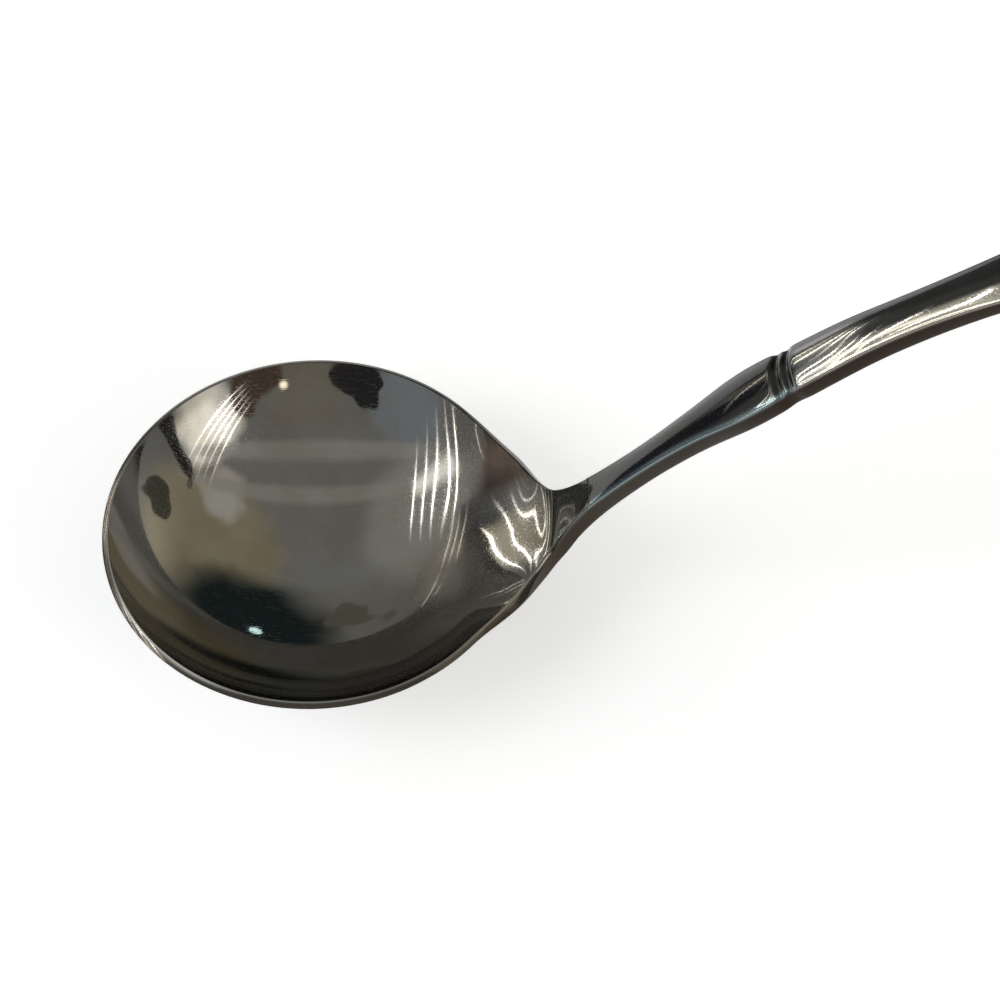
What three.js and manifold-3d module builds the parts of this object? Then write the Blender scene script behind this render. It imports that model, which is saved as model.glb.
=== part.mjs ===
// Gravy ladle: a round drawn bowl whose rim flares into a neck, and an arched handle brazed to that neck.
// Millimetres, +Z up, the handle towards +X. The origin is the middle of the flat under the bowl.
// Heights in the tables below are counted from the rim, and the group at the end lifts them all.
import * as THREE from 'three';
import { mergeVertices } from 'three/addons/utils/BufferGeometryUtils.js';
import Module from 'manifold-3d';

const wasm = await Module();
wasm.setup();
const { degToRad, smoothstep } = THREE.MathUtils;

// Bowl
const rimRadius = 30.1;
const bowlDepth = 17;
const rimThickness = 1.05;
const footRelief = 0.3;
const sphereRadius = (rimRadius ** 2 + bowlDepth ** 2) / (2 * bowlDepth);
const sphereCentre = sphereRadius - bowlDepth;
const rimHeight = bowlDepth + rimThickness - footRelief;

// Shoulder and neck
const shoulderStart = 22;
const neckStart = 36;
const thickeningStart = 23;
const rampStart = 18;
const rampFull = 26;
const rampPower = 2.5;

// Handle
const tipX = 131.4;
const tipStart = 119;
const tipHalfWidth = 8.6;
const edgeShare = 0.78;
const undersideShare = 0.97;
const bellyRoundness = 0.96;
const sideBulge = 0.12;
const crownPower = 2;

// Pinch across the handle: a fine bead between two hollows, and a notch in each edge
const pinchX = 64.1;
const hollowOffset = 0.62;
const hollowWidth = 0.42;
const hollowDepth = 0.55;
const grooveFade = 0.5;
const notchWidth = 1.1;
const notchDepth = 0.25;

// Scarf joint: the two pieces are cut along one slanted plane across the neck
const scarfX = 39.8;
const scarfLean = degToRad(12);
const brazeGap = 0.3;

// A smooth curve through a few stations along X, as a function of X
function through(stations) {
  const places = stations.map(([x]) => x);
  const values = stations.map(([, value]) => value);
  const curve = new THREE.CubicInterpolant(places, values, 1);
  return (x) => curve.evaluate(x)[0];
}

// Middle of the top, from the bowl's wall up the neck and along the arch of the handle
const topLine = through([
  [18, -12.05], [20, -10.75], [22, -9.2], [24, -7.4], [26, -5.58], [29, -3.05], [32, -0.8], [33.5, 0.28],
  [34.8, 1.28], [36, 2.8], [37.2, 4.5], [40.2, 8.7], [45.6, 15.7], [53.2, 25.2], [58.1, 30.9], [63, 36],
  [67.9, 40.7], [72.7, 45], [77, 48.3], [85, 53.8], [95, 59.9], [107, 65.8], [119, 70.2], [131.4, 73.2],
]);
const halfWidthLine = through([
  [20, 22.6], [22, 20.54], [25, 17.33], [28, 13.9], [30, 11.35], [32, 8.6], [34, 6], [36, 4.05],
  [38.4, 2.75], [42, 2.1], [46, 1.95], [50, 2.2], [54, 2.8], [58, 3.6], [61, 3.75], [65, 3.5], [69, 3.3],
  [77, 2.9], [86, 3.2], [96, 4.5], [107, 6.8], [119, tipHalfWidth], [124, tipHalfWidth],
]);
const rampEdgeLine = through([
  [20, 0], [22, 0], [24, -0.05], [26, -0.2], [28, -0.3], [30, -0.12], [32, 0.14], [33.3, 0.65], [34.5, 1.5],
  [36, 3],
]);
const thicknessLine = through([
  [36, 3.3], [38.4, 3.7], [46, 4.2], [54, 4.7], [60, 5], [68, 5.1], [77, 5.1], [90, 4.3], [105, 3.3],
  [120, 2.4], [132, 1.8],
]);
const crownLine = through([
  [34, -0.3], [36, -0.17], [38.4, -0.05], [41, 0.15], [46, 0.4], [54, 0.7], [60, 0.95], [68, 1], [77, 0.9],
  [95, 0.9], [115, 0.7], [132, 0.4],
]);

const bell = (x, middle, width) => Math.exp(-(((x - middle) / width) ** 2));
const pinchDip = (x) =>
  hollowDepth * (bell(x, pinchX - hollowOffset, hollowWidth) + bell(x, pinchX + hollowOffset, hollowWidth));

function halfWidth(x) {
  if (x < shoulderStart) return Math.sqrt(rimRadius ** 2 - x ** 2);
  if (x > tipStart) return tipHalfWidth * Math.sqrt(1 - ((x - tipStart) / (tipX - tipStart)) ** 2);
  return halfWidthLine(x) - notchDepth * bell(x, pinchX, notchWidth);
}

// Thickness square to the top, at a share v of the half width: even in the bowl, fuller in mid-handle
function thickness(x, v) {
  const growth = smoothstep(x, thickeningStart, neckStart);
  const middle = x < neckStart
    ? rimThickness + (thicknessLine(neckStart) - rimThickness) * growth
    : thicknessLine(x);
  const rounded = edgeShare + (1 - edgeShare) * Math.sqrt(1 - (bellyRoundness * v) ** 2);
  return middle * (1 + growth * (rounded - 1));
}

// Inside of the bowl: a sphere that runs over into the neck's ramp, a shallow trough up to the edges
function bowlTop(x, y) {
  const drop = Math.sqrt(Math.max(sphereRadius ** 2 - x ** 2 - y ** 2, sphereRadius));
  const sphere = sphereCentre - drop;
  if (x < rampStart) return sphere;
  const middle = topLine(x);
  const edge = x < shoulderStart ? 0 : rampEdgeLine(x);
  const ramp = middle + (edge - middle) * (Math.abs(y) / halfWidth(x)) ** rampPower;
  return sphere + (ramp - sphere) * smoothstep(x, rampStart, rampFull);
}

function bowlNormal(x, y) {
  const step = 0.05;
  const slopeX = (bowlTop(x + step, y) - bowlTop(x - step, y)) / (2 * step);
  const slopeY = (bowlTop(x, y + step) - bowlTop(x, y - step)) / (2 * step);
  return new THREE.Vector3(-slopeX, -slopeY, 1).normalize();
}

const shares = (count) => Array.from({ length: count + 1 }, (_, i) => -1 + (2 * i) / count);

// Rounded edge between the top and the underside, pushed out along the plan
function lip(top, under, outX, outY) {
  const bulge = sideBulge * top.distanceTo(under);
  return top.clone().lerp(under, 0.5).add(new THREE.Vector3(outX, outY, 0).setLength(bulge));
}

// Closed loop of the skin: over the top from the near edge to the far one, then back underneath
function closeLoop(top, under, outX, outY) {
  const farLip = lip(top.at(-1), under.at(-1), outX, outY);
  const nearLip = lip(top[0], under[0], outX, -outY);
  return [...top, farLip, ...under.toReversed(), nearLip];
}

function bowlLoop(planPoints, x, outX, outY) {
  const top = planPoints.map(([px, py]) => new THREE.Vector3(px, py, bowlTop(px, py)));
  const across = shares(top.length - 1);
  const under = top.map((point, i) =>
    point.clone().addScaledVector(bowlNormal(point.x, point.y), -thickness(x, across[i])));
  return closeLoop(top, under, outX, outY);
}

// Front half of the bowl: arcs that meet the rim squarely and close in on its foremost point
function frontLoop(rimAngle, count) {
  const centre = -rimRadius / Math.cos(rimAngle);
  const radius = rimRadius * Math.tan(rimAngle);
  const reach = Math.PI / 2 - rimAngle;
  const points = shares(count).map((v) =>
    [centre + radius * Math.cos(v * reach), radius * Math.sin(v * reach)]);
  return bowlLoop(points, 0, -Math.cos(rimAngle), Math.sin(rimAngle));
}

// Back half of the bowl and its shoulder: straight across
function backLoop(x, count) {
  const step = 0.1;
  const narrowing = (halfWidth(x - step) - halfWidth(x + step)) / (2 * step);
  const points = shares(count).map((v) => [x, v * halfWidth(x)]);
  return bowlLoop(points, x, narrowing, 1);
}

// Neck and handle: a crowned top, square to the arch
function handleLoop(x, count) {
  const step = 0.2;
  const slope = (topLine(x + step) - topLine(x - step)) / (2 * step);
  const up = new THREE.Vector3(-slope, 0, 1).normalize();
  const place = (y, height) => new THREE.Vector3(x, y, topLine(x)).addScaledVector(up, height);
  const crown = crownLine(x);
  const dip = pinchDip(x);
  const top = shares(count).map((v) =>
    place(v * halfWidth(x), -crown * Math.abs(v) ** crownPower - dip * (1 - grooveFade * v ** 4)));
  const under = shares(count).map((v) => place(v * halfWidth(x) * undersideShare, -thickness(x, v)));
  return closeLoop(top, under, 0, 1);
}

// Skin over a row of loops, closed at each end by a fan to a point
function loft(loops, firstPoint, lastPoint) {
  const count = loops[0].length;
  const points = [...loops.flat(), firstPoint, lastPoint];
  const first = points.length - 2;
  const last = points.length - 1;
  const lastRow = (loops.length - 1) * count;
  const faces = [];
  for (let j = 0; j < count; j++) {
    const next = (j + 1) % count;
    for (let row = 0; row < lastRow; row += count) {
      const a = row + j;
      const b = row + next;
      faces.push(a, a + count, b + count, a, b + count, b);
    }
    faces.push(first, j, next, last, lastRow + next, lastRow + j);
  }
  const geometry = new THREE.BufferGeometry().setFromPoints(points);
  geometry.setIndex(faces);
  return geometry;
}

function middleOf(loop) {
  const sum = loop.reduce((total, point) => total.add(point), new THREE.Vector3());
  return sum.divideScalar(loop.length);
}

function toSolid(geometry) {
  const bare = geometry.clone();
  bare.deleteAttribute('normal');
  bare.deleteAttribute('uv');
  const merged = mergeVertices(bare, 1e-4);
  const corners = merged.index.array;
  const faces = [];
  for (let i = 0; i < corners.length; i += 3) {
    const face = corners.slice(i, i + 3);
    if (new Set(face).size === 3) faces.push(...face);
  }
  return new wasm.Manifold(new wasm.Mesh({
    numProp: 3,
    vertProperties: new Float32Array(merged.attributes.position.array),
    triVerts: new Uint32Array(faces),
  }));
}

function toGeometry(solid) {
  const mesh = solid.getMesh();
  const geometry = new THREE.BufferGeometry();
  geometry.setAttribute('position', new THREE.BufferAttribute(mesh.vertProperties, 3));
  geometry.setIndex(new THREE.BufferAttribute(mesh.triVerts, 1));
  return geometry;
}

// Block on one side of the scarf plane, which runs up to half the braze gap on that side's own piece
function scarfBlock(side) {
  const size = 24;
  const block = new THREE.BoxGeometry(size, size, 2 * size);
  block.translate(side * (size - brazeGap) / 2, 0, 0);
  block.rotateY(scarfLean);
  block.translate(scarfX, 0, topLine(scarfX));
  return toSolid(block);
}

const range = (start, end, step) =>
  Array.from({ length: Math.round((end - start) / step) + 1 }, (_, i) => start + i * step);

function bowlGeometry() {
  const across = 24;
  const rimAngles = [0, 4, 8, 13, 19, 25, 32, 40, 48, 56, 64, 72, 80];
  const chords = [...range(0, 18, 3), ...range(20.5, 34, 1.5)];
  const neck = range(neckStart, 43.5, 1.5);
  const loops = [
    ...rimAngles.map((angle) => frontLoop(degToRad(angle), across)),
    ...chords.map((x) => backLoop(x, across)),
    ...neck.map((x) => handleLoop(x, across)),
  ];
  const foot = new THREE.BoxGeometry(rimRadius, rimRadius, bowlDepth);
  foot.translate(0, 0, -rimHeight - bowlDepth / 2);
  const body = toSolid(loft(loops, loops[0].at(-1), middleOf(loops.at(-1))));
  return toGeometry(body.subtract(scarfBlock(1)).subtract(toSolid(foot)));
}

function handleGeometry() {
  const across = 10;
  const roundEnd = [15, 30, 45, 58, 70, 80, 87].map((angle) =>
    tipStart + (tipX - tipStart) * Math.sin(degToRad(angle)));
  const aroundPinch = range(pinchX - 1.8, pinchX + 1.8, 0.2);
  const places = [
    ...range(neckStart, 46.5, 1.5), ...range(48, 60, 2), ...aroundPinch, ...range(67, 119, 4), ...roundEnd,
  ];
  const loops = places.map((x) => handleLoop(x, across));
  const tip = handleLoop(tipX, across);
  const body = toSolid(loft(loops, middleOf(loops[0]), middleOf(tip)));
  return toGeometry(body.subtract(scarfBlock(-1)));
}

const steel = () => new THREE.MeshStandardMaterial({ color: 0x8b8a85, roughness: 0.16, metalness: 1 });

const bowl = new THREE.Mesh(bowlGeometry(), steel());
bowl.name = 'bowl';

const handle = new THREE.Mesh(handleGeometry(), steel());
handle.name = 'handle';

const ladle = new THREE.Group();
ladle.add(bowl, handle);
ladle.position.z = rimHeight;

export default ladle;
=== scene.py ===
from math import cos, radians, sin

import bmesh
import bpy
import numpy as np
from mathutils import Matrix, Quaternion, Vector


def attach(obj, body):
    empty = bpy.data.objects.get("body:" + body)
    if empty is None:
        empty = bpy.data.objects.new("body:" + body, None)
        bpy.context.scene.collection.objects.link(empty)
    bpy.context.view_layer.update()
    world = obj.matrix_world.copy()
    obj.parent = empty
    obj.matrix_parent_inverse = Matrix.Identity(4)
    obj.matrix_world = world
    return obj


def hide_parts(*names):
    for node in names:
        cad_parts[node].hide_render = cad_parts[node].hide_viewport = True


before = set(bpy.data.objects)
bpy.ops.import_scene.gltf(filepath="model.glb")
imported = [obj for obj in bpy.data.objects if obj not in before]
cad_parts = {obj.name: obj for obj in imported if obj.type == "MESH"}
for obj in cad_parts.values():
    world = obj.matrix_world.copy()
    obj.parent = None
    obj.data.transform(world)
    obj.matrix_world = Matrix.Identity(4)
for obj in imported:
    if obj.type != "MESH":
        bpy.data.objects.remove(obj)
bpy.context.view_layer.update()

# Gravy ladle, dressed. The shape is worked out in millimetres with heights counted from the bowl's rim, and
# each piece is then scaled to metres and lifted so that the flat under the bowl stands on the floor.
MILLIMETRE = 0.001

# Bowl
RIM_RADIUS = 30.1
BOWL_DEPTH = 17.0
RIM_THICKNESS = 1.05
FOOT_RELIEF = 0.3
SPHERE_RADIUS = (RIM_RADIUS ** 2 + BOWL_DEPTH ** 2) / (2 * BOWL_DEPTH)
SPHERE_CENTRE = SPHERE_RADIUS - BOWL_DEPTH
RIM_HEIGHT = BOWL_DEPTH + RIM_THICKNESS - FOOT_RELIEF
LIP_BULGE = 0.12
LIP_SQUARENESS = 3.0
SKIN_SHARE = 0.95

# Shoulder and neck
SHOULDER_START = 22.0
NECK_START = 36.0
NECK_BLEND = 5.0
NECK_END = 44.0
THICKENING_START = 23.0
RAMP_START = 18.0
RAMP_FULL = 26.0
RAMP_POWER = 2.5

# Handle
TIP_X = 131.2
TIP_START = 119.0
TIP_HALF_WIDTH = 8.6
EDGE_SHARE = 0.78
UNDERSIDE_SHARE = 0.97
BELLY_ROUNDNESS = 0.96
SIDE_BULGE = 0.12
SIDE_SQUARENESS = 4.0
CROWN_POWER = 2

# Pinch across the handle: a fine bead between two hollows, and a notch in each edge
PINCH_X = 64.1
HOLLOW_OFFSET = 0.62
HOLLOW_WIDTH = 0.42
HOLLOW_DEPTH = 0.55
GROOVE_FADE = 0.5
NOTCH_WIDTH = 1.1
NOTCH_DEPTH = 0.25

# Scarf joint: the two pieces meet along one slanted plane across the neck, with a hairline between them
SCARF_X = 39.8
SCARF_LEAN = radians(12)
HAIRLINE = 0.008

# Camera, fitted to the round rim in the photograph
CAMERA_PLACE = (0.0168, -0.1993, 0.3095)
CAMERA_LOOK = (0.0298, 0.5720, -0.8197)
CAMERA_ROLL = radians(2.44)
CAMERA_LENS = 86.4
SENSOR_WIDTH = 36.0
CLIP_START = 0.01

# Mesh: spacing of the loops, in millimetres or degrees, and how the skin is closed and shaded
ACROSS_BOWL = 96
ACROSS_HANDLE = 28
LIP_LOOPS = 8
SIDE_LOOPS = 10
FRONT_TURN = 1.6
TIP_TURN = 3
LOOP_SPACING = 0.5
PINCH_REACH = 4.0
PINCH_SPACING = 0.12
MERGE_DISTANCE = 0.002
SHARP_ANGLE = radians(50)
EDGE_WEAR_AND_HIGHLIGHT_WIDTH = 0.35

# Steels, as base colours, among them painted highlights and painted shade
BOWL_STEEL = (0.31, 0.305, 0.29)
BOWL_STAIN = (0.275, 0.26, 0.23)
# Painted shade on the sides and underside of each piece
BOWL_FLANK_SHADE = (0.10, 0.088, 0.073)
# Painted highlight along the bowl's near edges, pale grey
BOWL_EDGE_HIGHLIGHT = (0.45, 0.445, 0.43)
BOWL_EDGE_HIGHLIGHT_SHARE = 0.35
# The handle's steels are far darker than the bowl's: painted shade, standing in for the dark room mirrored in
# the handle
HANDLE_SHADED_STEEL = (0.068, 0.07, 0.073)
HANDLE_SHADED_STAIN = (0.06, 0.058, 0.055)
HANDLE_FLANK_SHADE = (0.026, 0.018, 0.012)
# Painted highlight along the handle's near edges, pale blue
HANDLE_EDGE_HIGHLIGHT = (0.4, 0.5, 0.54)
HANDLE_EDGE_HIGHLIGHT_SHARE = 0.8
# Painted shade on the neck, on its top and its sides, blending the bowl's steel into the handle's darker one
NECK_SHADED_STEEL = (0.09, 0.09, 0.088)
NECK_FLANK_SHADE = (0.045, 0.037, 0.028)
# Painted shade: a dark patch on the far shoulder, standing in for a dark reflection there
SHOULDER_SHADE = (0.04, 0.028, 0.023)
# Painted highlight on the handle's top and near side just past the pinch
NOSE_HIGHLIGHT = (0.3, 0.3, 0.29)
# Painted highlight: a bright streak along the handle's near side past the pinch
STREAK_HIGHLIGHT = (0.5, 0.48, 0.43)
# Painted shade: a dark patch on the bowl's wall, which is also made rougher
BOWL_WALL_SHADE = (0.06, 0.06, 0.057)
# Painted highlight: a lighter band on the bowl's wall
BOWL_WALL_HIGHLIGHT = (0.54, 0.54, 0.52)
# Painted highlight on the rim's front near side
RIM_HIGHLIGHT = (0.8, 0.8, 0.79)
BELLY_STEEL = (0.3, 0.295, 0.28)

# Places of these steels, painted highlights and painted shade: the axis and, in millimetres, where each fade
# begins and where it is full
NECK_PLACE = [("X", 28.0, 37.0), ("X", 56.0, 42.0)]
SHOULDER_SHADE_PLACE = [("Y", 5.0, 10.0), ("X", 22.0, 26.0), ("X", 37.0, 34.0)]
NOSE_HIGHLIGHT_PLACE = [("X", 65.3, 66.5), ("X", 75.0, 71.0), ("Y", 2.6, 1.4)]
STREAK_HIGHLIGHT_PLACE = [("X", 67.0, 71.0), ("Y", -1.2, -1.9)]
DULL_SHADED_WALL_PLACE = [("X", 13.0, 20.0), ("X", 26.0, 20.5), ("Y", -11.0, -3.0), ("Y", 5.0, -1.0)]
SHOULDER_PLACE = [("X", 21.0, 25.0), ("X", 37.0, 34.0)]
EDGE_HIGHLIGHT_PLACE = [("Y", 2.0, -1.0), ("X", 67.0, 63.0)]
RIM_HIGHLIGHT_PLACE = [("X", -8.0, -16.0), ("Y", -9.0, -15.0)]
BELLY_PLACE = [("Z", 14.0, 9.0)]
HANDLE_PLACE = [("X", 42.0, 46.0)]
SHOULDER_SHADE_SHARE = 0.95
BOWL_WALL_SHADE_SHARE = 0.8
DULL_WEAR = 0.95

# The painted highlight on the bowl's wall lies between two radii from the bowl's middle, towards one side of
# the bowl
WALL_HIGHLIGHT_RADII = (20.0, 26.0)
WALL_HIGHLIGHT_SIDE = (0.8, 0.6)
WALL_HIGHLIGHT_FADE = (-8.0, -20.0)

# Finish: stains, polish, the slight waves of hand polishing, and hairline scratches as turns and stretches
CLOUD_SCALE = 0.09
CLOUD_FADE = (0.38, 0.66)
FLANK_FADE = (0.02, 0.4)
BELLY_FADE = (0.85, 1.0)
POLISH = 0.02
CLOUD_ROUGHNESS = 0.02
EDGE_ROUGHNESS = 0.06
SCUFF_ROUGHNESS = 0.3
WAVE_SCALE = 0.16
WAVE_HEIGHT = 0.00001
SHOULDER_WAVE_SCALE = 0.4
SHOULDER_WAVE_SHARE = 0.35
SCRATCH_FADE = (0.6, 0.72)
SCRATCH_STRENGTH = 0.35
SCRATCH_HEIGHT = 0.000002
SCRATCH_WEAR = 0.25
CLOUD_WEAR = 0.08
CLOUD_WEAR_FADE = (0.4, 0.7)
SCRATCH_RUNS = [
    ((0, 0, 0.9), (0.05, 3.0, 3.0)),
    ((0.2, 0, -0.5), (0.07, 4.2, 4.2)),
    ((0, 0.3, 2.2), (0.05, 5.5, 5.5)),
]

# Floor and lamp, in metres
FLOOR_REACH = 4
FLOOR_PAINT = (0.88, 0.9, 0.945)
FLOOR_ROUGHNESS = 0.9
FLOOR_GLOW = (0.5, 0.5, 0.5)
LAMP_PLACE = (-0.75, -0.35, 0.75)
LAMP_AIM = (0.03, 0, 0)
LAMP_SIZE = (0.5, 0.5)
LAMP_RADIANCE = 3.3

# Room: walls and ceiling with soft strips, each at a slope of Y over Z and with a width
WALL = (0.27, 0.27, 0.26)
CEILING = (0.335, 0.335, 0.32)
STRIP_LIGHT = (0.58, 0.57, 0.54)
STRIP_SHARE = 0.75
CEILING_STRIPS = [(-0.75, 0.2), (-0.26, 0.12)]
ZONE_DRIFT = 0.08

# Banks of light bars: the side along X they stand on, half a bar's width, the slope of Y over X at their
# middle and how far they reach from it, and for each bar its slope of Z over X, its lean and its sag
BAR_LIGHT = (8.0, 7.8, 7.2)
BAR_DIM_SHARE = 0.35
BAR_CORE = (0.35, 0.05)
BAR_BANKS = [
    (-1, 0.014, -0.08, 0.55, [
        (0.942, 0.36, -0.48), (0.778, 0.39, -0.55), (0.631, 0.43, -0.62),
        (0.508, 0.48, -0.70), (0.401, 0.53, -0.75),
    ]),
    (1, 0.012, -0.9, 0.8, [(height, 0.0, 0.0) for height in (0.45, 0.53, 0.61, 0.70, 0.80)]),
    (-1, 0.012, 0.85, 0.7, [(height, 0.0, 0.0) for height in (0.16, 0.30, 0.40, 0.48)]),
]

# Upright glow on a wall: its side along X, its slope of Y over X and width, its lowest and highest slope of
# Z over X, and its light
GLOW_STRIPS = [(-1, -0.17, 0.14, 0.25, 0.95, (1.5, 1.45, 1.31))]
GLOW_FADE = 0.15

# Places of the room: azimuth from the handle's side, elevation, radius and soft edge in degrees, and
# radiance. The zones have wandering outlines and the spots have round ones.
ZONES = [
    (22, 38, 24, 16, (0.46, 0.41, 0.29)),
    (-85, 24, 15, 10, (0.34, 0.32, 0.27)),
    (-138, 17, 12, 10, (0.36, 0.40, 0.43)),
    (172, 38, 20, 15, (0.50, 0.50, 0.47)),
    (70, 27, 17, 17, (0.02, 0.032, 0.032)),
    (108, 37, 10, 2, (0.2, 0.2, 0.17)),
    (160, 3, 12, 8, (0.10, 0.11, 0.13)),
    (143, 13, 4, 11, (0.85, 0.78, 0.62)),
    (-12, 46, 5, 10, (0.75, 0.73, 0.66)),
    (-33, 20, 4, 17, (2.4, 2.3, 2.08)),
    (-60, 17, 11, 3, (0.14, 0.095, 0.07)),
    (-110, 19, 8, 1.5, (0.04, 0.038, 0.042)),
    (10, 10, 7, 1.5, (0.08, 0.078, 0.06)),
]
SPOTS = [
    (-75, 20, 0.3, 2.4, (3.4, 3.05, 2.35)),
    (73, 22.5, 1.7, 0.6, (2.0, 2.9, 3.0)),
]


def through(stations):
    """Smooth curve through a few stations along X, as a function of X."""
    places, values = np.array(stations, float).T
    gaps = np.diff(places)
    slopes = np.diff(values) / gaps
    system = np.eye(len(places))
    bends = np.zeros(len(places))
    for i in range(1, len(gaps)):
        system[i, i - 1:i + 2] = gaps[i - 1], 2 * (gaps[i - 1] + gaps[i]), gaps[i]
        bends[i] = 6 * (slopes[i] - slopes[i - 1])
    bends = np.linalg.solve(system, bends)

    def curve(x):
        i = np.clip(np.searchsorted(places, x) - 1, 0, len(gaps) - 1)
        before = (places[i + 1] - x) / gaps[i]
        after = (x - places[i]) / gaps[i]
        bend = (before ** 3 - before) * bends[i] + (after ** 3 - after) * bends[i + 1]
        return before * values[i] + after * values[i + 1] + bend * gaps[i] ** 2 / 6

    return curve


# Middle of the top, from the bowl's wall up the neck and along the arch of the handle
top_line = through([
    (18, -12.05), (20, -10.75), (22, -9.2), (24, -7.4), (26, -5.58), (29, -3.05), (32, -0.8), (33.5, 0.28),
    (34.8, 1.28), (36, 2.8), (37.2, 4.5), (40.2, 8.7), (45.6, 15.7), (53.2, 25.2), (58.1, 30.9), (63, 36),
    (67.9, 40.7), (72.7, 45), (77, 48.3), (85, 53.8), (95, 59.9), (107, 65.8), (119, 70.2), (131.4, 73.2),
])
half_width_line = through([
    (20, 22.6), (22, 20.54), (25, 17.33), (28, 13.9), (30, 11.35), (32, 8.6), (34, 6), (36, 4.05),
    (38.4, 2.75), (42, 2.1), (46, 1.95), (50, 2.2), (54, 2.8), (58, 3.6), (61, 3.75), (65, 3.5), (69, 3.3),
    (77, 2.9), (86, 3.2), (96, 4.5), (107, 6.8), (119, TIP_HALF_WIDTH), (124, TIP_HALF_WIDTH),
])
ramp_edge_line = through([
    (20, 0), (22, 0), (24, -0.05), (26, -0.2), (28, -0.3), (30, -0.12), (32, 0.14), (33.3, 0.65), (34.5, 1.5),
    (36, 3),
])
thickness_line = through([
    (36, 3.3), (38.4, 3.7), (46, 4.2), (54, 4.7), (60, 5), (68, 5.1), (77, 5.1), (90, 4.3), (105, 3.3),
    (120, 2.4), (132, 1.8),
])
crown_line = through([
    (34, -0.3), (36, -0.17), (38.4, -0.05), (41, 0.15), (46, 0.4), (54, 0.7), (60, 0.95), (68, 1), (77, 0.9),
    (95, 0.9), (115, 0.7), (132, 0.4),
])


def smooth_step(x, start, end):
    share = np.clip((x - start) / (end - start), 0, 1)
    return share * share * (3 - 2 * share)


def bell(x, middle, width):
    return np.exp(-((x - middle) / width) ** 2)


def pinch_dip(x):
    before = bell(x, PINCH_X - HOLLOW_OFFSET, HOLLOW_WIDTH)
    after = bell(x, PINCH_X + HOLLOW_OFFSET, HOLLOW_WIDTH)
    return HOLLOW_DEPTH * (before + after)


def half_width(x):
    circle = np.sqrt(np.maximum(RIM_RADIUS ** 2 - x ** 2, 0))
    run = half_width_line(x) - NOTCH_DEPTH * bell(x, PINCH_X, NOTCH_WIDTH)
    end = TIP_HALF_WIDTH * np.sqrt(np.clip(1 - ((x - TIP_START) / (TIP_X - TIP_START)) ** 2, 0, 1))
    return np.where(x < SHOULDER_START, circle, np.where(x > TIP_START, end, run))


def thickness(x, v):
    """Thickness square to the top, at a share v of the half width: even in the bowl, fuller in mid-handle."""
    growth = smooth_step(x, THICKENING_START, NECK_START)
    neck = thickness_line(NECK_START)
    middle = np.where(x < NECK_START, RIM_THICKNESS + (neck - RIM_THICKNESS) * growth, thickness_line(x))
    rounded = EDGE_SHARE + (1 - EDGE_SHARE) * np.sqrt(1 - (BELLY_ROUNDNESS * v) ** 2)
    return SKIN_SHARE * middle * (1 + growth * (rounded - 1))


def bowl_top(x, y):
    """Inside of the bowl: a sphere that runs over into the neck's ramp, a shallow trough up to the edges."""
    sphere = SPHERE_CENTRE - np.sqrt(np.maximum(SPHERE_RADIUS ** 2 - x ** 2 - y ** 2, SPHERE_RADIUS))
    middle = top_line(x)
    share = np.abs(y) / np.maximum(half_width(x), 1)
    edge = np.where(x < SHOULDER_START, 0, ramp_edge_line(x))
    ramp = middle + (edge - middle) * share ** RAMP_POWER
    return sphere + (ramp - sphere) * smooth_step(x, RAMP_START, RAMP_FULL)


def bowl_normal(x, y):
    step = 0.02
    slope_x = (bowl_top(x + step, y) - bowl_top(x - step, y)) / (2 * step)
    slope_y = (bowl_top(x, y + step) - bowl_top(x, y - step)) / (2 * step)
    normal = np.stack([-slope_x, -slope_y, np.ones_like(slope_x)], -1)
    return unit(normal)


def bowl_skins(x, y, station, across):
    """Top and underside of the bowl over points of its plan."""
    top = np.stack([x, y, bowl_top(x, y)], -1)
    under = top - bowl_normal(x, y) * thickness(station, across)[..., None]
    return top, under


def handle_skins(x, across):
    """Top and underside of the neck and handle: a crowned top, square to the arch."""
    step = 0.1
    slope = (top_line(x + step) - top_line(x - step)) / (2 * step)
    length = np.sqrt(1 + slope ** 2)
    width = half_width(x)
    dip = pinch_dip(x) * (1 - GROOVE_FADE * across ** 4)

    def place(y, height):
        return np.stack([x - height * slope / length, y, top_line(x) + height / length], -1)

    top = place(across * width, -crown_line(x) * np.abs(across) ** CROWN_POWER - dip)
    under = place(across * width * UNDERSIDE_SHARE, -thickness(x, across))
    return top, under


def lip(top, under, out, bulge, squareness, count):
    """Rounded edge from the top to the underside, pushed out along the given direction."""
    turn = np.linspace(0, np.pi, count + 1)[1:-1]
    down = np.sign(np.cos(turn)) * np.abs(np.cos(turn)) ** (2 / squareness)
    away = np.sin(turn) ** (2 / squareness)
    middle = (top + under) / 2
    half = (top - under) / 2
    height = np.linalg.norm(top - under, axis=-1)[:, None, None]
    return (middle[:, None] + half[:, None] * down[:, None]
            + out[:, None] * away[:, None] * bulge * height)


def unit(vectors):
    return vectors / np.maximum(np.linalg.norm(vectors, axis=-1, keepdims=True), 1e-9)


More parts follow.
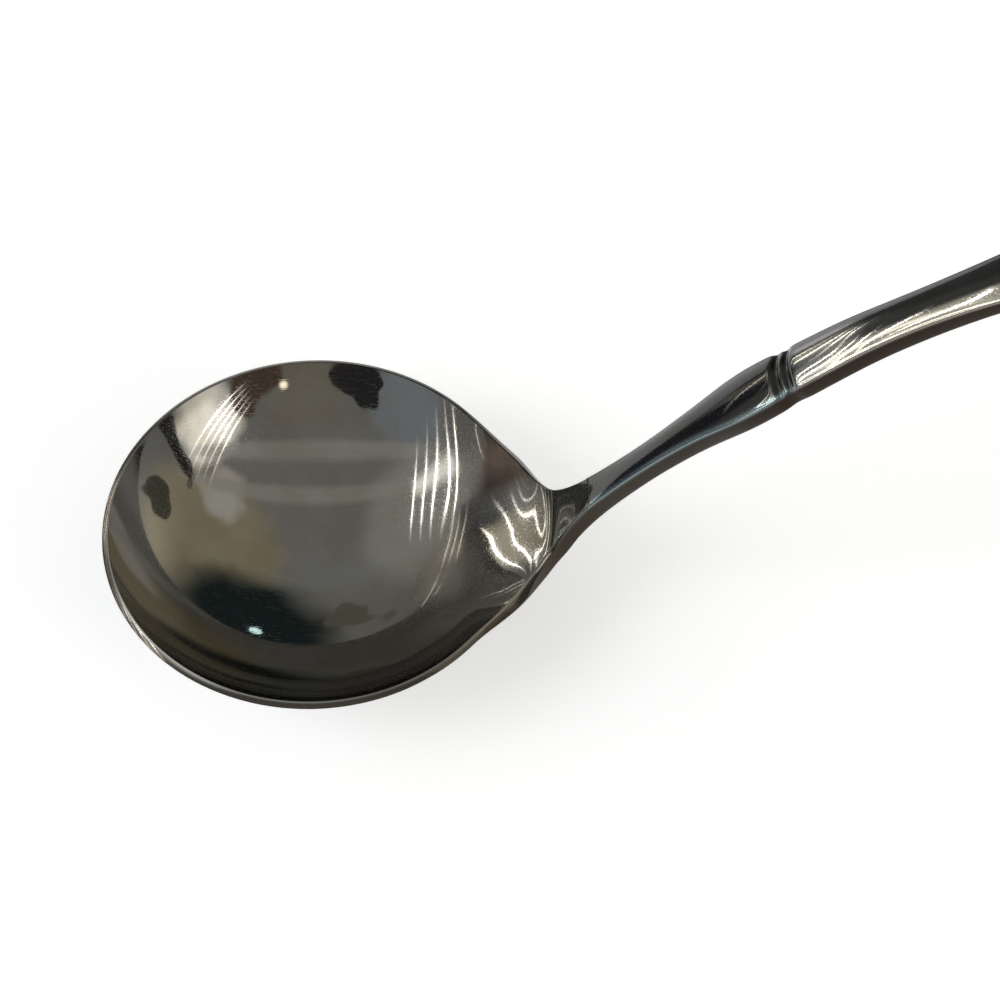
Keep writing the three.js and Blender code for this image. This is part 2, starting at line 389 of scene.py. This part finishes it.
class Skin:
    """Closed loops of points along a piece, with how far each point is down the flank and near an edge."""

    def __init__(self, top, under, near_lip, far_lip):
        self.points = np.concatenate([top, far_lip, under[:, ::-1], near_lip, top[:, :1]], axis=1)
        rows, across = top.shape[:2]
        turn = np.linspace(0, 1, far_lip.shape[1] + 2)[1:-1]
        shares = [np.zeros(across), turn, np.ones(under.shape[1]), turn[::-1], np.zeros(1)]
        self.flank = np.tile(np.concatenate(shares), (rows, 1))
        steps = np.linalg.norm(np.diff(self.points, axis=1), axis=-1)
        travelled = np.concatenate([np.zeros((rows, 1)), np.cumsum(steps, axis=1)], axis=1)
        whole = travelled[:, -1:]
        far_corner = travelled[:, across - 1:across]
        to_near = np.minimum(travelled, whole - travelled)
        to_far = np.abs(travelled - far_corner)
        self.edge = np.exp(-(np.minimum(to_near, to_far) / EDGE_WEAR_AND_HIGHLIGHT_WIDTH) ** 2)


def bowl_skin(across_count, lip_count):
    across = np.linspace(-1, 1, across_count + 1)
    angles = np.radians(np.arange(0, 89, FRONT_TURN))[:, None]
    reach = across * (np.pi / 2 - angles)
    radius = RIM_RADIUS * np.tan(angles)
    front_x = -RIM_RADIUS / np.cos(angles) + radius * np.cos(reach)
    front_y = radius * np.sin(reach)
    front_top, front_under = bowl_skins(front_x, front_y, np.zeros_like(front_x), across + 0 * front_x)
    front_out = np.concatenate([-np.cos(angles), np.sin(angles), 0 * angles], axis=1)

    stations = np.arange(0, NECK_END + 0.1, LOOP_SPACING)
    back_x = np.repeat(stations[:, None], across.size, axis=1)
    shares = np.repeat(across[None], stations.size, axis=0)
    bowl_pair = bowl_skins(back_x, shares * half_width(back_x), back_x, shares)
    neck_pair = handle_skins(np.maximum(back_x, NECK_START - NECK_BLEND), shares)
    neckness = smooth_step(back_x, NECK_START - NECK_BLEND, NECK_START)[..., None]
    back_top, back_under = (b + (n - b) * neckness for b, n in zip(bowl_pair, neck_pair))
    step = 0.1
    narrowing = (half_width(stations - step) - half_width(stations + step)) / (2 * step)
    back_out = unit(np.stack([narrowing, np.ones_like(narrowing), np.zeros_like(narrowing)], -1))

    top = np.concatenate([front_top, back_top])
    under = np.concatenate([front_under, back_under])
    out = np.concatenate([front_out, back_out])
    mirror = np.array([1, -1, 1])
    far_lip = lip(top[:, -1], under[:, -1], out, LIP_BULGE, LIP_SQUARENESS, lip_count)
    near_lip = lip(top[:, 0], under[:, 0], out * mirror, LIP_BULGE, LIP_SQUARENESS, lip_count)[:, ::-1]
    return Skin(top, under, near_lip, far_lip)


def handle_skin(across_count, lip_count):
    across = np.linspace(-1, 1, across_count + 1)
    turn = np.radians(np.arange(TIP_TURN, 91, TIP_TURN))
    stations = np.concatenate([
        np.arange(NECK_START, PINCH_X - PINCH_REACH, LOOP_SPACING),
        np.arange(PINCH_X - PINCH_REACH, PINCH_X + PINCH_REACH, PINCH_SPACING),
        np.arange(PINCH_X + PINCH_REACH, TIP_START, LOOP_SPACING),
        TIP_START + (TIP_X - TIP_START) * np.sin(turn),
    ])
    x = np.repeat(stations[:, None], across.size, axis=1)
    shares = np.repeat(across[None], stations.size, axis=0)
    top, under = handle_skins(x, shares)
    rounding = np.clip((stations - TIP_START) / (TIP_X - TIP_START), 0, 1)
    out = unit(np.stack([
        TIP_HALF_WIDTH * rounding,
        (TIP_X - TIP_START) * np.sqrt(1 - rounding ** 2),
        np.zeros_like(rounding),
    ], -1))
    mirror = np.array([1, -1, 1])
    far_lip = lip(top[:, -1], under[:, -1], out, SIDE_BULGE, SIDE_SQUARENESS, lip_count)
    near_lip = lip(top[:, 0], under[:, 0], out * mirror, SIDE_BULGE, SIDE_SQUARENESS, lip_count)[:, ::-1]
    return Skin(top, under, near_lip, far_lip)


def add_piece(name, skin, keep_side):
    """Mesh piece from a skin: a grid is wrapped round it, cut at the scarf and closed there."""
    rows, columns = skin.points.shape[:2]
    shell = bmesh.new()
    flank_layer = shell.verts.layers.float.new("flank")
    edge_layer = shell.verts.layers.float.new("edge")
    bmesh.ops.create_grid(shell, x_segments=rows - 1, y_segments=columns - 1, size=1)
    for vertex in shell.verts:
        row = round((vertex.co.x + 1) / 2 * (rows - 1))
        column = round((vertex.co.y + 1) / 2 * (columns - 1))
        vertex.co = skin.points[row, column]
        vertex[flank_layer] = skin.flank[row, column]
        vertex[edge_layer] = skin.edge[row, column]
    bmesh.ops.remove_doubles(shell, verts=shell.verts, dist=MERGE_DISTANCE)
    across_scarf = Quaternion((0, 1, 0), SCARF_LEAN) @ Vector((1, 0, 0))
    scarf_middle = Vector((SCARF_X, 0, float(top_line(SCARF_X))))
    bmesh.ops.bisect_plane(
        shell, geom=shell.verts[:] + shell.edges[:] + shell.faces[:],
        plane_co=scarf_middle + across_scarf * keep_side * HAIRLINE / 2,
        plane_no=across_scarf * -keep_side, clear_outer=True,
    )
    bmesh.ops.holes_fill(shell, edges=[e for e in shell.edges if e.is_boundary])
    foot = -RIM_HEIGHT
    for vertex in shell.verts:
        vertex.co.z = max(vertex.co.z, foot)
    bmesh.ops.translate(shell, verts=shell.verts, vec=(0, 0, RIM_HEIGHT))
    bmesh.ops.scale(shell, verts=shell.verts, vec=(MILLIMETRE,) * 3)
    bmesh.ops.recalc_face_normals(shell, faces=shell.faces)
    mesh = bpy.data.meshes.new(name)
    shell.to_mesh(mesh)
    shell.free()
    mesh.shade_smooth()
    mesh.set_sharp_from_angle(angle=SHARP_ANGLE)
    piece = bpy.data.objects.new(name, mesh)
    bpy.context.scene.collection.objects.link(piece)
    return piece


class Shade:
    """A shader value that can be used in sums and products, and that makes the other nodes of its tree."""

    def __init__(self, tree, socket=None):
        self.tree = tree
        self.socket = socket

    def node(self, kind, inputs=None, output=0, **settings):
        made = self.tree.nodes.new(kind)
        for name, value in settings.items():
            setattr(made, name, value)
        for name, value in (inputs or {}).items():
            if isinstance(value, Shade):
                self.tree.links.new(value.socket, made.inputs[name])
            else:
                made.inputs[name].default_value = value
        return Shade(self.tree, made.outputs[output] if made.outputs else None)

    def is_vector(self):
        return self.socket.type in ("VECTOR", "RGBA")

    def work(self, operation, first, second):
        if any(isinstance(value, Shade) and value.is_vector() for value in (first, second)):
            return self.node("ShaderNodeVectorMath", {0: first, 1: second}, operation=operation)
        return self.node("ShaderNodeMath", {0: first, 1: second}, operation=operation)

    def __add__(self, other):
        return self.work("ADD", self, other)

    def __radd__(self, other):
        return self.work("ADD", other, self)

    def __sub__(self, other):
        return self.work("SUBTRACT", self, other)

    def __rsub__(self, other):
        return self.work("SUBTRACT", other, self)

    def __mul__(self, other):
        return self.work("MULTIPLY", self, other)

    def __rmul__(self, other):
        return self.work("MULTIPLY", other, self)

    def __truediv__(self, other):
        return self.work("DIVIDE", self, other)

    def __pow__(self, other):
        return self.work("POWER", self, other)

    def size(self):
        return self.node("ShaderNodeMath", {0: self}, operation="ABSOLUTE")

    def rise(self, start, end):
        """0 below start, 1 above end, smooth between."""
        inputs = {"Value": self, "From Min": start, "From Max": end}
        return self.node("ShaderNodeMapRange", inputs, interpolation_type="SMOOTHSTEP")

    def mix(self, first, second):
        """Colour from first to second as this value goes from 0 to 1."""
        inputs = {0: self, 6: (*first, 1) if isinstance(first, tuple) else first,
                  7: (*second, 1) if isinstance(second, tuple) else second}
        return self.node("ShaderNodeMix", inputs, output=2, data_type="RGBA")

    def noise(self, scale, detail=2.0, roughness=0.5, output="Fac"):
        """Noise over this place, about 0.5."""
        inputs = {"Vector": self, "Scale": scale, "Detail": detail, "Roughness": roughness}
        return self.node("ShaderNodeTexNoise", inputs, output)

    def turned(self, angles, stretch):
        """This place, turned and then stretched along its axes."""
        inputs = {"Vector": self, "Rotation": angles, "Scale": stretch}
        return self.node("ShaderNodeMapping", inputs, vector_type="POINT")

    def bump(self, strength, distance, inputs):
        inputs = {"Strength": strength, "Distance": distance, **inputs}
        return self.node("ShaderNodeBump", inputs, output="Normal")

    def attribute(self, name):
        return self.node("ShaderNodeAttribute", output="Fac", attribute_name=name)


def new_tree(material):
    material.use_nodes = True
    material.node_tree.nodes.clear()
    return Shade(material.node_tree)


def metal(tree, base, roughness, normal):
    inputs = {"Base Color": base, "Roughness": roughness, "Metallic": 1.0, "Normal": normal}
    return tree.node("ShaderNodeBsdfPrincipled", inputs)


def within(axes, places):
    """Product of soft fades over the axes."""
    share = 1.0
    for axis, start, full in places:
        share = axes[axis].rise(start, full) * share
    return share


def steel(name, clean, stained, flank_shade, edge_highlight_share, edge_highlight):
    """Polished steel with hairline scratches, cloudy stains, rougher worn edges, painted highlights along
    edges and in set places, and painted shade on the flanks and in set places.
    """
    material = bpy.data.materials.new(name)
    tree = new_tree(material)
    place = tree.node("ShaderNodeTexCoord", output="Object") * ((1 / MILLIMETRE,) * 3)
    axes = {axis: tree.node("ShaderNodeSeparateXYZ", {0: place}, output=axis) for axis in "XYZ"}
    clouds = place.noise(CLOUD_SCALE, 3.0, 0.55)
    scratches = 0.0
    for angles, stretch in SCRATCH_RUNS:
        strand = place.turned(angles, stretch).noise(1.0, 1.0, 0.5)
        scratches = strand.rise(*SCRATCH_FADE) + scratches
    flank = tree.attribute("flank")
    edge = tree.attribute("edge")

    neck = within(axes, NECK_PLACE)
    # Painted shade on the far shoulder, whose place is also made rougher
    far_shoulder_shade = within(axes, SHOULDER_SHADE_PLACE) * SHOULDER_SHADE_SHARE
    # Painted shade on the bowl's wall; the same place is also roughened
    dull_shaded_wall = within(axes, DULL_SHADED_WALL_PLACE)
    # Painted highlight on the bowl's wall
    radius = (axes["X"] * axes["X"] + axes["Y"] * axes["Y"]) ** 0.5
    towards = axes["X"] * WALL_HIGHLIGHT_SIDE[0] + axes["Y"] * WALL_HIGHLIGHT_SIDE[1]
    wall_highlight = radius.rise(*WALL_HIGHLIGHT_RADII) * towards.rise(*WALL_HIGHLIGHT_FADE)
    belly = flank.rise(*BELLY_FADE) * (within(axes, BELLY_PLACE) + within(axes, HANDLE_PLACE))
    base = clouds.rise(*CLOUD_FADE).mix(clean, stained)
    for share, colour in (
        # Neck darkened towards the handle: painted shade
        (neck, NECK_SHADED_STEEL),
        (far_shoulder_shade, SHOULDER_SHADE),
        (within(axes, NOSE_HIGHLIGHT_PLACE), NOSE_HIGHLIGHT),
        (within(axes, STREAK_HIGHLIGHT_PLACE), STREAK_HIGHLIGHT),
        (dull_shaded_wall * BOWL_WALL_SHADE_SHARE, BOWL_WALL_SHADE),
        (wall_highlight, BOWL_WALL_HIGHLIGHT),
        # Sides and underside darkened with painted shade, deeper still on the handle
        (flank.rise(*FLANK_FADE), neck.mix(flank_shade, NECK_FLANK_SHADE)),
        (belly, BELLY_STEEL),
        # Painted highlights along the near edges up to the pinch
        (edge * edge_highlight_share * within(axes, EDGE_HIGHLIGHT_PLACE), edge_highlight),
        # Painted highlight on the rim's front near side
        (edge * within(axes, RIM_HIGHLIGHT_PLACE), RIM_HIGHLIGHT),
    ):
        base = share.mix(base, colour)

    roughness = POLISH + clouds * CLOUD_ROUGHNESS + edge * EDGE_ROUGHNESS
    shoulder_waves = place.noise(SHOULDER_WAVE_SCALE, 2.0, 0.5)
    waves = place.noise(WAVE_SCALE, 1.0, 0.4)
    waves = waves + within(axes, SHOULDER_PLACE) * SHOULDER_WAVE_SHARE * shoulder_waves
    bumped = tree.bump(1.0, WAVE_HEIGHT, {"Height": waves})
    grain = tree.bump(SCRATCH_STRENGTH, SCRATCH_HEIGHT, {"Height": scratches, "Normal": bumped})
    cloud_wear = clouds.rise(*CLOUD_WEAR_FADE) * CLOUD_WEAR
    worn = scratches * SCRATCH_WEAR + cloud_wear + far_shoulder_shade + dull_shaded_wall * DULL_WEAR
    polished = metal(tree, base, roughness, grain)
    scuffed = metal(tree, base, SCUFF_ROUGHNESS, grain)
    surface = tree.node("ShaderNodeMixShader", {0: worn, 1: polished, 2: scuffed})
    tree.node("ShaderNodeOutputMaterial", {"Surface": surface})
    return material


def add_floor():
    tile = bmesh.new()
    bmesh.ops.create_grid(tile, x_segments=1, y_segments=1, size=FLOOR_REACH)
    mesh = bpy.data.meshes.new("floor")
    tile.to_mesh(mesh)
    tile.free()
    floor = bpy.data.objects.new("floor", mesh)
    bpy.context.scene.collection.objects.link(floor)
    material = bpy.data.materials.new("pale_floor")
    tree = new_tree(material)
    seen = tree.node("ShaderNodeLightPath", output="Is Camera Ray")
    mirrored = tree.node("ShaderNodeLightPath", output="Is Glossy Ray")
    passed = tree.node("ShaderNodeLightPath", output="Is Transmission Ray")
    glow = (seen + mirrored + passed).mix((0, 0, 0), FLOOR_GLOW)
    surface = tree.node("ShaderNodeBsdfPrincipled", {
        "Base Color": (*FLOOR_PAINT, 1), "Roughness": FLOOR_ROUGHNESS,
        "Emission Color": glow, "Emission Strength": 1.0,
    })
    tree.node("ShaderNodeOutputMaterial", {"Surface": surface})
    mesh.materials.append(material)


def add_lamp(name, place, towards, size, radiance):
    """Flat lamp of the given width and height, whose face has an even radiance."""
    lamp = bpy.data.lights.new(name, "AREA")
    lamp.shape = "RECTANGLE"
    lamp.size, lamp.size_y = size
    lamp.energy = radiance * np.pi * size[0] * size[1]
    holder = bpy.data.objects.new(name, lamp)
    holder.location = place
    holder.rotation_mode = "QUATERNION"
    holder.rotation_quaternion = (Vector(towards) - Vector(place)).to_track_quat("-Z", "Y")
    holder.visible_glossy = False
    bpy.context.scene.collection.objects.link(holder)


def add_camera():
    data = bpy.data.cameras.new("camera")
    data.lens = CAMERA_LENS
    data.sensor_width = SENSOR_WIDTH
    data.clip_start = CLIP_START
    camera = bpy.data.objects.new("camera", data)
    camera.location = CAMERA_PLACE
    camera.rotation_mode = "QUATERNION"
    look = Vector(CAMERA_LOOK).to_track_quat("-Z", "Y")
    camera.rotation_quaternion = look @ Quaternion((0, 0, 1), CAMERA_ROLL)
    bpy.context.scene.collection.objects.link(camera)
    bpy.context.scene.camera = camera


def add_world():
    """Dim studio: soft grey walls and ceiling, banks of light bars, and a few darker and lighter places."""
    world = bpy.data.worlds.new("studio")
    world.use_nodes = True
    world.node_tree.nodes.clear()
    tree = Shade(world.node_tree)
    direction = tree.node("ShaderNodeTexCoord", output="Generated")
    x, y, z = (tree.node("ShaderNodeSeparateXYZ", {0: direction}, output=axis) for axis in "XYZ")
    colour = z.rise(0.0, 0.9).mix(WALL, CEILING)
    drift = direction.noise(4.0, 1.0, 0.4, output="Color") - (0.5, 0.5, 0.5)
    wandering = direction + drift * ((ZONE_DRIFT,) * 3)
    for seen_from, places in ((wandering, ZONES), (direction, SPOTS)):
        for azimuth, elevation, radius, softness, tint in places:
            flat = cos(radians(elevation))
            towards = (flat * cos(radians(azimuth)), flat * sin(radians(azimuth)), sin(radians(elevation)))
            closeness = tree.node(
                "ShaderNodeVectorMath", {0: seen_from, 1: towards}, output="Value", operation="DOT_PRODUCT")
            zone = closeness.rise(cos(radians(radius + softness)), cos(radians(radius)))
            colour = zone.mix(colour, tint)

    overhead = y / z
    for place, width in CEILING_STRIPS:
        strip = (overhead - place).size().rise(width, width * 0.3) * z.rise(0.3, 0.5)
        colour = (strip * STRIP_SHARE).mix(colour, STRIP_LIGHT)

    sideways = x.size()
    height = z / sideways
    along = y / sideways
    for side, bar_width, core, reach, bars in BAR_BANKS:
        facing = (x * side).rise(0.0, 0.1)
        off_core = (along - core).size()
        lit = off_core.rise(reach, reach * 0.3) * BAR_DIM_SHARE + off_core.rise(*BAR_CORE)
        for bar_height, lean, sag in bars:
            level = bar_height + along * lean + along * along * sag
            bar = (height - level).size().rise(bar_width, bar_width * 0.5)
            colour = colour + (facing * lit * bar).mix((0, 0, 0), BAR_LIGHT)
    for side, place, width, low, high, light in GLOW_STRIPS:
        facing = (x * side).rise(0.0, 0.1)
        upright = height.rise(low, low + GLOW_FADE) * height.rise(high, high - GLOW_FADE)
        strip = (along - place).size().rise(width, 0.0) * upright
        colour = colour + (facing * strip).mix((0, 0, 0), light)
    background = tree.node("ShaderNodeBackground", {"Color": colour, "Strength": 1.0})
    tree.node("ShaderNodeOutputWorld", {"Surface": background})
    bpy.context.scene.world = world


bpy.context.scene.view_settings.view_transform = "Standard"
add_camera()
add_floor()
add_world()

add_lamp("soft_left", LAMP_PLACE, LAMP_AIM, LAMP_SIZE, LAMP_RADIANCE)

bowl_steel = steel("bowl_steel", BOWL_STEEL, BOWL_STAIN, BOWL_FLANK_SHADE, BOWL_EDGE_HIGHLIGHT_SHARE, BOWL_EDGE_HIGHLIGHT)
# The handle's material is darkened throughout with painted shade
handle_steel = steel(
    "handle_steel", HANDLE_SHADED_STEEL, HANDLE_SHADED_STAIN, HANDLE_FLANK_SHADE, HANDLE_EDGE_HIGHLIGHT_SHARE, HANDLE_EDGE_HIGHLIGHT)

bowl = add_piece("ladle_bowl", bowl_skin(ACROSS_BOWL, LIP_LOOPS), -1)
bowl.data.materials.append(bowl_steel)
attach(bowl, "root")
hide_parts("bowl")

handle = add_piece("ladle_handle", handle_skin(ACROSS_HANDLE, SIDE_LOOPS), 1)
handle.data.materials.append(handle_steel)
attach(handle, "root")
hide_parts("handle")
